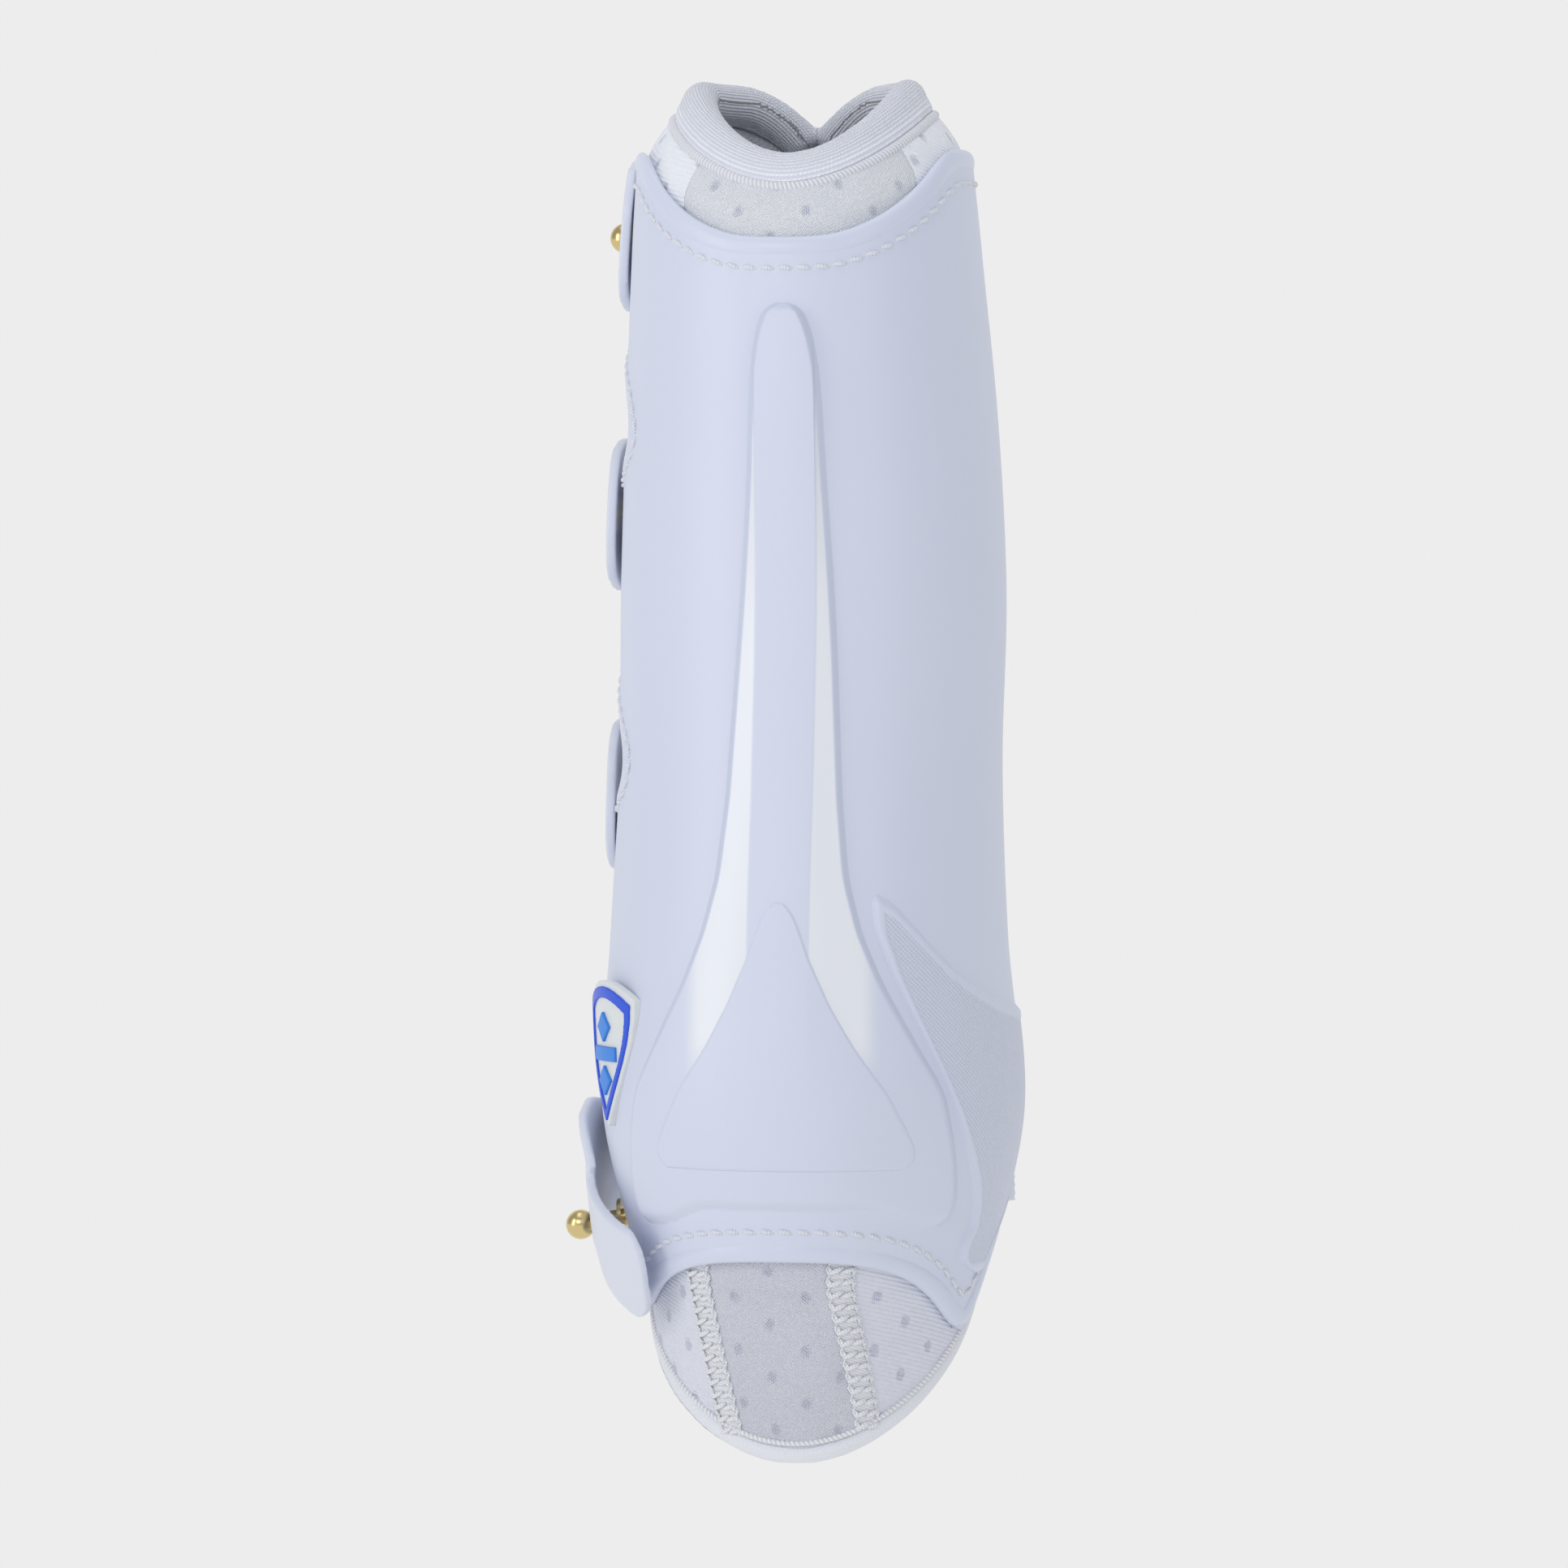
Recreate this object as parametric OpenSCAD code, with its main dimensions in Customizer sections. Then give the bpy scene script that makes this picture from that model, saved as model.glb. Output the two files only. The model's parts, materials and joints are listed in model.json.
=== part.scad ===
// Tendon boot for the left front leg of a horse: a moulded shell over a soft liner,
// closed across the open front by four elastic straps whose tabs hook over ball studs.
// The origin is on the leg's axis at the height of the liner's lowest point.
// +Z is up, +Y is the open front, +X is the inner (medial) side, and angles are
// measured round the leg from the back: 0 at the back, 90 medial, -90 lateral.

/* [Shell] */
// Wall of the moulded shell
shell_wall = 2.2; // [1.8:0.1:2.3]
// Radius of the rolled bead round the shell's edge
bead_r = 1.9; // [1.5:0.1:1.9]
// Angle from the back at which the shell ends on both sides of the front
shell_edge = 135; // [132:1:138]
// Height of the tendon rib over the shell
rib_height = 2.2; // [1.2:0.1:2.6]
// Height of the triangular pad over the rib
pad_height = 0.9; // [0.6:0.1:1.2]
// Height of the textured medial pad over the shell
strike_height = 1.2; // [0.8:0.1:1.6]

/* [Liner] */
// Thickness of the padded liner
liner_wall = 4; // [3:0.5:5]
// Gap between the two front edges of the liner, as an angle to each side
liner_gap = 4.5; // [4.5:0.5:6]
// Radius of the rolled collar
collar_r = 4.2; // [3.5:0.1:5.2]

/* [Straps] */
// Height of straps 1 to 3
strap_w = 36; // [32:1:37]
// Height of the slanted bottom strap
low_strap_w = 30; // [26:1:31]
// Thickness of a moulded tab
tab_t = 2.3; // [2:0.1:2.5]
// Thickness of the elastic webbing
elastic_t = 1.6; // [1.2:0.1:1.8]
// Slant of the bottom strap
low_tilt = 27; // [25:1:30]
// Diameter of a stud's ball
ball_d = 7; // [6.6:0.1:7]

/* [Badge] */
// Height of the shield badge
badge_h = 34; // [30:1:36]
// Width of the shield badge
badge_w = 26; // [22:1:28]

/* [Hidden] */

// Form of the leg: one value at every 40 mm of height, from 0 to 320.
step_z = 40;
half_width = [39, 41, 49, 46.5, 44.8, 45.1, 43.5, 40.8, 38];
back_depth = [40, 46, 55, 52, 47, 46, 46, 44, 42];
front_depth = [36, 38, 44, 43, 41, 41, 41, 39, 37];
side_shift = [0, 0, -0.4, -1, -0.6, 0, -0.4, -1.6, -2.4];

shell_white = "#D5DBEC";
liner_white = "#E4E7EE";
brass = "#C9B27A";
liner_d = -shell_wall - 0.4;
embed = 0.3;

function cubic(p, q, r, s, t) =
    q + t * ((r - p) + t * ((2*p - 5*q + 4*r - s) + t * (3*(q - r) + s - p))) / 2;
function station(list, z) =
    let (s = min(max(z / step_z, 0), len(list) - 1.001), i = floor(s), last = len(list) - 1)
    cubic(list[max(i - 1, 0)], list[i], list[i + 1], list[min(i + 2, last)], s - i);
function ease(t) = let (c = min(max(t, 0), 1)) c * c * (3 - 2 * c);

// A point at angle psi, height z and distance d outside the shell's own surface.
function on_form(psi, z, d) =
    let (deep = station(cos(psi) > 0 ? back_depth : front_depth, z))
    [station(side_shift, z) + (station(half_width, z) + d) * sin(psi), -(deep + d) * cos(psi), z];

// Edges of the shell and the liner.
back_top = 281;
tip_angle = 67;
function shell_top(psi) = back_top - 2 + 22 * pow(min(max(abs(psi) - 12, 0) / 56, 1), 1.6)
    - 6 * ease((abs(psi) - 105) / 35);
function shell_bottom(psi) = let (m = abs(psi))
    let (tip = psi > 0 ? 29 : 34)
    m < tip_angle ? 49 - (49 - tip) * pow(m / tip_angle, 3)
    : let (t = (m - tip_angle) / (shell_edge - tip_angle))
        tip + (70 - tip) * (psi > 0 ? sin(90 * t) : pow(t, 1.3));
function scallop(z, mid) = pow(max(cos(min(abs(z - mid) / 26, 1) * 90), 0), 1.3);
function lateral_edge(z) = -shell_edge + 70 * (scallop(z, 243) + scallop(z, 177));
function liner_top(psi) = let (m = abs(psi))
    292.7 + 19 * ease(m / 100) - 10.5 * ease((m - 145) / 38);
function liner_bottom(psi) = let (m = abs(psi))
    m < 90 ? 35 * (1 - cos(m)) : 35 + 32 * sin(m - 90);
function liner_lean(a, z) = 5.2 * pow(max(z - liner_top(a) + 9, 0) / 9, 1.4);

// A closed curved sheet. psi and high are functions of u and v, both from 0 to 1;
// near and far give the inner and outer distance from the form at an angle and height.
module curved_sheet(nu, nv, psi, high, near, far) {
    n = (nu + 1) * (nv + 1);
    grid = [for (j = [0:nv], i = [0:nu])
        let (v = j / nv, u = i / nu, a = psi(u, v)) [a, high(a, v)]];
    points = concat([for (g = grid) on_form(g[0], g[1], far(g[0], g[1]))],
                    [for (g = grid) on_form(g[0], g[1], near(g[0], g[1]))]);
    skin = [for (j = [0:nv - 1], i = [0:nu - 1])
        let (a = j * (nu + 1) + i, b = a + 1, c = b + nu + 1, d = a + nu + 1)
        each [[a, c, b], [a, d, c]]];
    rim = concat([for (i = [0:nu - 1]) i], [for (j = [0:nv - 1]) j * (nu + 1) + nu],
        [for (i = [nu:-1:1]) nv * (nu + 1) + i], [for (j = [nv:-1:1]) j * (nu + 1)]);
    back = [for (f = skin) [f[0] + n, f[2] + n, f[1] + n]];
    sides = [for (k = [0:len(rim) - 1])
        let (a = rim[k], b = rim[(k + 1) % len(rim)]) each [[a, b, b + n], [a, b + n, a + n]]];
    polyhedron(points, concat(skin, back, sides), convexity = 6);
}

function unit(v) = v / norm(v);
// A round tube along a path that lies on the form, closed on itself or capped.
module tube(path, r, sides, closed = false) {
    n = len(path);
    rings = [for (k = [0:n - 1])
        let (before = path[closed ? (k + n - 1) % n : max(k - 1, 0)],
             after = path[closed ? (k + 1) % n : min(k + 1, n - 1)],
             along = unit(after - before),
             out = [path[k][0], path[k][1], 0],
             e1 = unit(out - (out * along) * along), e2 = cross(along, e1))
        each [for (s = [0:sides - 1]) path[k] + r * (cos(360*s/sides) * e1 + sin(360*s/sides) * e2)]];
    wall = [for (k = [0:(closed ? n - 1 : n - 2)], s = [0:sides - 1])
        let (k2 = (k + 1) % n, s2 = (s + 1) % sides)
        each [[k*sides + s, k2*sides + s2, k*sides + s2], [k*sides + s, k2*sides + s, k2*sides + s2]]];
    caps = closed ? [] : [[for (s = [0:sides - 1]) s],
                          [for (s = [sides - 1:-1:0]) (n - 1) * sides + s]];
    polyhedron(rings, concat(wall, caps), convexity = 6);
}

// ---------- moulded shell ----------
lateral_low = 70;
lateral_high = 296;
function shell_psi(u, v) =
    let (left = lateral_edge(lateral_low + (lateral_high - lateral_low) * v))
    left + (shell_edge - left) * u;
function shell_z(a, v) = shell_bottom(a) + (shell_top(a) - shell_bottom(a)) * v;

module outer_shell() {
    color(shell_white)
    curved_sheet(40, 48, function (u, v) shell_psi(u, v), function (a, v) shell_z(a, v),
        function (a, z) -shell_wall, function (a, z) 0);
}

// The shell's outline as [u, v] pairs, once round.
rim_steps = 32;
medial_steps = 12;
lateral_steps = 48;
outline = concat(
    [for (i = [0:rim_steps - 1]) [i / rim_steps, 0]],
    [for (i = [0:medial_steps - 1]) [1, i / medial_steps]],
    [for (i = [rim_steps:-1:1]) [i / rim_steps, 1]],
    [for (i = [lateral_steps:-1:1]) [0, i / lateral_steps]]);
function edge_point(uv, inset, d) =
    let (s = 1 - inset / 110, u = 0.5 + (uv[0] - 0.5) * s, v = 0.5 + (uv[1] - 0.5) * s,
         a = shell_psi(u, v))
    on_form(a, shell_z(a, v), d);

module shell_edge_bead() {
    color(shell_white)
    tube([for (p = outline) edge_point(p, 0, -1)], bead_r, 8, true);
}

module edge_stitching() {
    color("white")
    tube([for (p = outline) edge_point(p, 6, 0)], 0.3, 4, true);
}

// Half widths of the rib and the triangular pad, each as [height, half width].
rib_table = [[57, 38], [65, 39], [75, 38.6], [86, 37], [98, 30.9], [111, 24.2], [122, 19],
    [135, 15.7], [153, 14.3], [187, 12.4], [225, 10], [255, 7.8], [265, 5], [268, 1.5]];
pad_table = [[69, 28], [72, 29.8], [77, 28], [86, 24.4], [97, 16.5], [106, 11.8],
    [117, 6.9], [127, 4], [130, 1]];
function rib_angle(z) = asin(lookup(z, rib_table) / (station(half_width, z) + 1));
function pad_angle(z) = asin(lookup(z, pad_table) / (station(half_width, z) + 1));

module tendon_rib() {
    rise = 7;
    color(shell_white)
    curved_sheet(20, 24, function (u, v) (2*u - 1) * rib_angle(57 + 211 * v),
        function (a, v) 57 + 211 * v, function (a, z) -embed,
        function (a, z) let (edge = rib_angle(z) - abs(a))
            0.15 + (rib_height - 0.15) * ease(edge / rise) * ease((z - 55) / 8) * ease((271 - z) / 8));
}

module tendon_pad() {
    color(shell_white)
    curved_sheet(12, 12, function (u, v) (2*u - 1) * pad_angle(69 + 61 * v),
        function (a, v) 69 + 61 * v, function (a, z) rib_height - 0.9,
        function (a, z) rib_height + 0.1 + (pad_height - 0.1) * ease((pad_angle(z) - abs(a)) / 2));
}

// Back edge of the textured medial pad, as [height, distance to the side].
strike_table = [[44, 36], [48, 34], [52, 35], [58, 37.4], [73, 38.6], [88, 34.4], [98, 28.9],
    [106, 24.4], [115, 19.6], [124, 16], [133, 15.6]];
function strike_start(z) = 8 + asin(min(lookup(z, strike_table) / (station(half_width, z) + 1), 1));
function strike_top(a) = lookup(a, [[20, 134], [32, 130], [46, 118.8], [61, 110.3], [75, 106.2],
    [90, 104.3], [112, 104.3]]);

module medial_strike_pad() {
    color(shell_white)
    curved_sheet(14, 12,
        function (u, v) let (s = strike_start(46 + 87 * v)) s + (112 - s) * u,
        function (a, v) let (low = max(46, shell_bottom(a) + 3)) low + (strike_top(a) - low) * v,
        function (a, z) -embed, function (a, z) strike_height);
}

module impact_foam() {
    color("#C9CCD4")
    curved_sheet(8, 14, function (u, v) -24 + 44 * u, function (a, v) 82 + 156 * v,
        function (a, z) liner_d - 1, function (a, z) liner_d - 0.1);
}

// ---------- liner ----------
seam_lateral = -30;
seam_medial = 26;
function foam_pocket(a, z) = a > -29 && a < 25 && z > 66 && z < 254 ? 1.2 : 0;

module liner_panel(from, to, nu) {
    color(liner_white)
    curved_sheet(nu, 24, function (u, v) from + (to - from) * u,
        function (a, v) liner_bottom(a) + (liner_top(a) - liner_bottom(a)) * v,
        function (a, z) liner_d - liner_wall - liner_lean(a, z),
        function (a, z) liner_d - foam_pocket(a, z) - liner_lean(a, z));
}
module liner_back_panel() liner_panel(seam_lateral, seam_medial, 14);
module liner_medial_panel() liner_panel(seam_medial, 180 - liner_gap, 22);
module liner_lateral_panel() liner_panel(-180 + liner_gap, seam_lateral, 22);

module liner_seam(psi) {
    color("white")
    tube([for (k = [0:18])
        let (z = liner_bottom(psi) + (liner_top(psi) - liner_bottom(psi)) * k / 18)
        on_form(psi, z, liner_d - 0.5 - liner_lean(psi, z))], 0.6, 6);
}
module liner_seam_lateral() liner_seam(seam_lateral);
module liner_seam_medial() liner_seam(seam_medial);

front_angle = 180 - liner_gap;
module collar_tube(lift, sink, r, sides) {
    color(liner_white)
    tube([for (k = [0:60])
        let (a = -front_angle + 2 * front_angle * k / 60, z = liner_top(a) + lift)
        on_form(a, z, liner_d - sink - liner_lean(a, z - lift))], r, sides);
}
module collar_roll() collar_tube(collar_r - 0.4, liner_wall / 2 + 0.2, collar_r, 10);
module collar_piping() collar_tube(-0.8, 0.2, 0.85, 6);

module bottom_binding() {
    color(liner_white)
    tube([for (k = [0:48])
        let (a = -front_angle + 2 * front_angle * k / 48)
        on_form(a, liner_bottom(a) + 2.2, liner_d - liner_wall / 2)], 2.2, 8);
}

module front_binding(side) {
    color(liner_white)
    tube([for (k = [0:24])
        let (a = side * front_angle, z = liner_bottom(a) + 4
            + (liner_top(a) - liner_bottom(a) - 4) * k / 24)
        on_form(a, z, liner_d - liner_wall / 2 - liner_lean(a, z))], 2.1, 8);
}
module front_binding_lateral() front_binding(-1);
module front_binding_medial() front_binding(1);

// ---------- straps ----------
// Each strap: height, stand-off, half width, front and back depth, shift, slant and the
// angles of its anchor bar, tab bar, stud and finger end. Strap 4 is the slanted one.
function level_strap(z, stand, stud) =
    let (low = z - strap_w / 2)
    [z, stand, max(station(half_width, low), station(half_width, z)),
     station(front_depth, low), station(back_depth, low), station(side_shift, z),
     0, 152, -152, stud, -84, strap_w];
straps = [level_strap(284, 1.1, -110), level_strap(218.5, 2.1, -114), level_strap(152.5, 1.1, -114),
    [62, 1.1, 50.3, 50.5, 54.5, -0.4, 15, 150, -122, -88, -43, low_strap_w]];
// The bottom tab turns further down and leans out with the fetlock, about its own bar.
tab_turn = [[0, 0, 0], [0, 0, 0], [0, 0, 0], [low_tilt - 15, -10, 0]];

loop_r = 2.5;
bar_r = 1.3;
bar_clearance = 0.06;
cheek = 3;

// A point on a strap's own ellipse, in its own level plane.
function ring(s, psi, d) =
    let (deep = cos(psi) > 0 ? s[4] : s[3])
    [s[5] + (s[2] + d) * sin(psi), -(deep + d) * cos(psi)];
function facing(s, psi) =
    let (deep = cos(psi) > 0 ? s[4] : s[3]) atan2(-cos(psi) / deep, sin(psi) / s[2]);
module placed(s) translate([0, 0, s[0]]) rotate([s[6], 0, 0]) children();
module placed_tab(k) {
    s = straps[k];
    bar = ring(s, s[8], s[1] + tab_t / 2);
    placed(s) translate([bar[0], bar[1], 0]) rotate(tab_turn[k])
        translate([-bar[0], -bar[1], 0]) children();
}
module at_ring(s, psi, d) translate(ring(s, psi, d)) rotate(facing(s, psi)) children();

// A curved plate between two angles, w high.
module band(s, from, to, d0, d1, w) {
    steps = 2 * ceil(abs(to - from) / 5);
    angles = [for (k = [0:steps]) from + (to - from) * k / steps];
    translate([0, 0, -w / 2]) linear_extrude(w)
    polygon(concat([for (a = angles) ring(s, a, d1)],
        [for (k = [steps:-1:0]) ring(s, angles[k], d0)]));
}

module corner_cut(r) {
    difference() {
        translate([-9, 0, 0]) cube([18, r + 12, r + 12]);
        rotate([0, 90, 0]) cylinder(h = 20, r = r, center = true, $fn = 64);
    }
}

// The bar with its two cheeks, which join it to a plate on one side.
module bar_and_cheeks(s, psi, toward, d0) {
    mid = d0 + tab_t / 2;
    w = s[11];
    at_ring(s, psi, mid) cylinder(h = w - 1, r = bar_r, center = true, $fn = 32);
    for (side = [-1, 1]) translate([0, 0, side * (w - cheek) / 2]) {
        at_ring(s, psi, mid) cylinder(h = cheek, r = loop_r - 0.1, center = true, $fn = 32);
        band(s, psi, psi + toward, d0, d0 + tab_t, cheek);
    }
}

module stud_slot(s, psi, d0, reach) {
    wide = ball_d / 2 + 0.5;
    at_ring(s, psi, d0) rotate([0, 90, 0]) {
        cylinder(h = 16, r = wide, center = true, $fn = 48);
        translate([0, reach, 0]) cylinder(h = 16, r = wide, center = true, $fn = 48);
        translate([-wide, 0, -8]) cube([2 * wide, reach, 16]);
    }
}

module strap_tab(k) {
    s = straps[k];
    d0 = s[1];
    lip = k == 3 ? 9 : 0;
    trim = k == 3 ? 5 : 0;
    end_r = s[11] / 2 - 3 - trim / 2;
    color(shell_white) placed_tab(k) {
        difference() {
            union() {
                band(s, s[8] + 6, s[10], d0, d0 + tab_t, s[11]);
                if (lip > 0) translate([0, 0, s[11] / 2])
                    band(s, s[8] + 10, s[8] + 42, d0, d0 + tab_t, 2 * lip);
            }
            translate([0, 0, stud_shift[k]]) stud_slot(s, s[9], d0, k == 3 ? 8.4 : 5.8);
            if (trim > 0) translate([0, 0, -s[11] / 2])
                band(s, s[8] + 16, s[10] + 4, d0 - 2, d0 + tab_t + 2, 2 * trim);
            for (side = [0, 1]) mirror([0, 0, side]) at_ring(s, s[10], d0)
                translate([0, -end_r, s[11] / 2 - side * trim - end_r]) corner_cut(end_r);
        }
        bar_and_cheeks(s, s[8], 7, d0);
    }
}

module webbing_loop(s, psi, r) {
    at_ring(s, psi, s[1] + tab_t / 2) cylinder(h = loop_h(s), r = r, center = true, $fn = 48);
}
function loop_h(s) = s[11] - 2 * cheek - 0.6;
module strap_elastic(k) {
    s = straps[k];
    mid = s[1] + tab_t / 2;
    color("#EEF0F4") difference() {
        union() {
            placed(s) band(s, s[7] + 1.5, 360 + s[8] - 1.5, mid - elastic_t / 2,
                mid + elastic_t / 2, loop_h(s) - (k == 3 ? 3 : 0));
            placed(s) webbing_loop(s, s[7], loop_r);
            placed_tab(k) webbing_loop(s, s[8], loop_r);
        }
        placed(s) webbing_loop(s, s[7], bar_r + bar_clearance);
        placed_tab(k) webbing_loop(s, s[8], bar_r + bar_clearance);
    }
}

// How far each anchor's plate runs back over the shell, and how deep it sits below the strap.
anchor_reach = [26, 26, 26, 26];
anchor_depth = [1.5, 2.6, 1.5, 2];
module strap_anchor(k) {
    s = straps[k];
    color(shell_white) placed(s) {
        band(s, s[7] - anchor_reach[k], s[7] - 5, s[1] - anchor_depth[k], s[1] + tab_t, s[11]);
        bar_and_cheeks(s, s[7], -6, s[1]);
    }
}

module anchor_rivets() {
    color(brass)
    for (k = [0:3]) placed(straps[k]) for (side = [-1, 1])
        translate([0, 0, side * 9]) at_ring(straps[k], straps[k][7] - 19, straps[k][1] + tab_t)
            rotate([0, 90, 0]) translate([0, 0, -6]) {
                cylinder(h = 6.2, d = 3, $fn = 32);
                translate([0, 0, 6]) cylinder(h = 0.8, d = 6.5, $fn = 48);
            }
}

// Distance from a strap's inner face down to the shell at its stud, and the stud's
// height above the middle of its strap.
stud_drop = [2.5, 2.8, 1.9, 5];
stud_shift = [0, 0, 0, -2.8];
module ball_stud(k) {
    s = straps[k];
    neck = stud_drop[k] + tab_t + shell_wall + 0.6;
    color(brass) placed_tab(k) translate([0, 0, stud_shift[k]])
        at_ring(s, s[9], s[1]) rotate([0, 90, 0]) {
        translate([0, 0, tab_t + 3.4]) sphere(d = ball_d, $fn = 48);
        translate([0, 0, -neck + tab_t]) cylinder(h = neck, d = 4, $fn = 32);
        translate([0, 0, -stud_drop[k]]) cylinder(h = 0.9, d = 9, $fn = 48);
    }
}

module stud_backing_washers() {
    color("#9A9CA3")
    for (k = [0:3]) placed_tab(k) translate([0, 0, stud_shift[k]])
        at_ring(straps[k], straps[k][9], straps[k][1] - stud_drop[k] - shell_wall - 0.1)
            rotate([0, -90, 0]) difference() {
                cylinder(h = 0.8, d = 9, $fn = 48);
                translate([0, 0, -1]) cylinder(h = 3, d = 4.04, $fn = 32);
            }
}

// ---------- badge ----------
badge_z = 93.5;
badge_angle = -60;
// Shield outline: a rounded top and two sides that meet in a point.
function shield(w, h) = concat(
    [for (t = [-1:0.25:1]) [w/2 * t, h/2 - 0.13 * h * t * t]],
    [for (t = [0.15:0.17:1]) [w/2 * cos(90 * t), h * (0.37 - 0.87 * t)]],
    [for (t = [0.83:-0.17:0.1]) [-w/2 * cos(90 * t), h * (0.37 - 0.87 * t)]]);
module on_side() {
    p = on_form(badge_angle, badge_z, 0);
    translate(p) rotate([0, 0, badge_angle]) rotate([90, 0, 0]) rotate([2, 0, 0]) children();
}
module badge_base() {
    color("#DDE4EA") on_side()
    intersection() {
        translate([0, 0, -5]) linear_extrude(8) polygon(shield(badge_w, badge_h));
        translate([0, 0, -32.5]) rotate([90, 0, 0])
            difference() {
                cylinder(h = badge_h + 4, r = 34.5, center = true, $fn = 96);
                cylinder(h = badge_h + 6, r = 32.4, center = true, $fn = 96);
            }
    }
}
module badge_border() {
    color("#2450D8") on_side()
    intersection() {
        translate([0, 0, -5]) linear_extrude(8) difference() {
            polygon(shield(badge_w - 2.4, badge_h - 2.8));
            polygon(shield(badge_w - 6, badge_h - 8));
        }
        translate([0, 0, -32.5]) rotate([90, 0, 0])
            difference() {
                cylinder(h = badge_h + 4, r = 35, center = true, $fn = 96);
                cylinder(h = badge_h + 6, r = 34.4, center = true, $fn = 96);
            }
    }
}
module badge_emblem() {
    on_side() intersection() {
        translate([0, 0, -5]) linear_extrude(8) {
            square([12, 3.4], center = true);
            for (side = [-1, 1]) translate([0, side * 6.2]) rotate(45) square(5, center = true);
        }
        translate([0, 0, -32.5]) rotate([90, 0, 0])
            difference() {
                cylinder(h = badge_h, r = 35.2, center = true, $fn = 96);
                cylinder(h = badge_h + 2, r = 34.4, center = true, $fn = 96);
            }
    }
}

outer_shell();
shell_edge_bead();
edge_stitching();
tendon_rib();
tendon_pad();
medial_strike_pad();
impact_foam();
liner_back_panel();
liner_medial_panel();
liner_lateral_panel();
liner_seam_lateral();
liner_seam_medial();
collar_roll();
collar_piping();
bottom_binding();
front_binding_lateral();
front_binding_medial();
ball_stud(0);  // ball_stud_1
ball_stud(1);  // ball_stud_2
ball_stud(2);  // ball_stud_3
ball_stud(3);  // ball_stud_4
stud_backing_washers();
strap_anchor(0);  // strap_anchor_1
strap_anchor(1);  // strap_anchor_2
strap_anchor(2);  // strap_anchor_3
strap_anchor(3);  // strap_anchor_4
anchor_rivets();
strap_elastic(0);  // strap_elastic_1
strap_elastic(1);  // strap_elastic_2
strap_elastic(2);  // strap_elastic_3
strap_elastic(3);  // strap_elastic_4
strap_tab(0);  // strap_tab_1
strap_tab(1);  // strap_tab_2
strap_tab(2);  // strap_tab_3
strap_tab(3);  // strap_tab_4
badge_base();
badge_border();
badge_emblem();
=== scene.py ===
import json
import math
import random

import bpy
import numpy as np
from mathutils import Matrix, Vector


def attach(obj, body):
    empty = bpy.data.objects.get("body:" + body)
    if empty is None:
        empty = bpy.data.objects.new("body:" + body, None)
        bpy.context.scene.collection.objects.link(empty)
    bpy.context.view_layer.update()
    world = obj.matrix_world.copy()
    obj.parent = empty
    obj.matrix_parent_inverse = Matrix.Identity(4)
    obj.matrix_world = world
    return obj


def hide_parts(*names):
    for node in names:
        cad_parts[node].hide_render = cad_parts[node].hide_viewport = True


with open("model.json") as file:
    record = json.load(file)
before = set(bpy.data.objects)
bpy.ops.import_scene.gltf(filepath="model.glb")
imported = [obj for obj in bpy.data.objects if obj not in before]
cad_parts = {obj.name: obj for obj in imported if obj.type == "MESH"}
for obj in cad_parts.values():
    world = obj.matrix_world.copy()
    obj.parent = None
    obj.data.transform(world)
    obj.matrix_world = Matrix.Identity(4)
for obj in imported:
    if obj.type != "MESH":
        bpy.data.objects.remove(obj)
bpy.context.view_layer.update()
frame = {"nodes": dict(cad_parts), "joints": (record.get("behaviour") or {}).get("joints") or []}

random.seed(4)

# ---------------------------------------------------------------- studio
# A pale sheet under and behind the boot, two tall soft boxes at the sides, a soft
# one overhead and a weak one by the camera, as in a catalogue picture.
MM = 0.001
VIEW_TURN, VIEW_RISE, VIEW_AWAY = math.radians(8), math.radians(1.3), 1.6
FRAME_WIDE = 0.367
LOOK_SIDE, LOOK_UP = -0.0070, 0.1552


def unselect():
    if bpy.context.object and bpy.context.object.mode != "OBJECT":
        bpy.ops.object.mode_set(mode="OBJECT")
    bpy.ops.object.select_all(action="DESELECT")


def named(name):
    made = bpy.context.object
    made.name = made.data.name = name
    return made


across = Vector((math.cos(VIEW_TURN), math.sin(VIEW_TURN), 0))
ahead = Vector((-math.sin(VIEW_TURN) * math.cos(VIEW_RISE),
                math.cos(VIEW_TURN) * math.cos(VIEW_RISE), -math.sin(VIEW_RISE)))
aim = across * LOOK_SIDE + Vector((0, 0, LOOK_UP))
unselect()
bpy.ops.object.camera_add(location=aim - ahead * VIEW_AWAY,
                          rotation=ahead.to_track_quat("-Z", "Y").to_euler())
camera = named("studio_camera")
camera.data.sensor_width = 36
camera.data.lens = 36 * VIEW_AWAY / FRAME_WIDE
bpy.context.scene.camera = camera


def soft_box(name, place, wide, tall, watts, tint=(1, 1, 1)):
    bpy.ops.object.light_add(type="AREA", location=place,
                             rotation=(aim - Vector(place)).to_track_quat("-Z", "Y").to_euler())
    box = named(name)
    box.data.shape = "RECTANGLE"
    box.data.size, box.data.size_y = wide, tall
    box.data.energy = watts
    box.data.color = tint


soft_box("box_left", (-1.05, -0.75, 0.35), 0.5, 1.1, 3.9)
soft_box("box_right", (0.95, -0.85, 0.35), 0.35, 1.1, 1.5, (0.97, 0.98, 1))
soft_box("box_camera", (-0.35, -1.5, 0.75), 0.9, 0.7, 4.1)
soft_box("box_top", (0, -0.1, 1.3), 1.0, 1.0, 3.0)

world = bpy.data.worlds.new("studio_air")
bpy.context.scene.world = world
world.use_nodes = True
world.node_tree.nodes["Background"].inputs["Color"].default_value = (0.93, 0.95, 1, 1)
world.node_tree.nodes["Background"].inputs["Strength"].default_value = 0.46
bpy.context.scene.view_settings.view_transform = "Standard"


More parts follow.
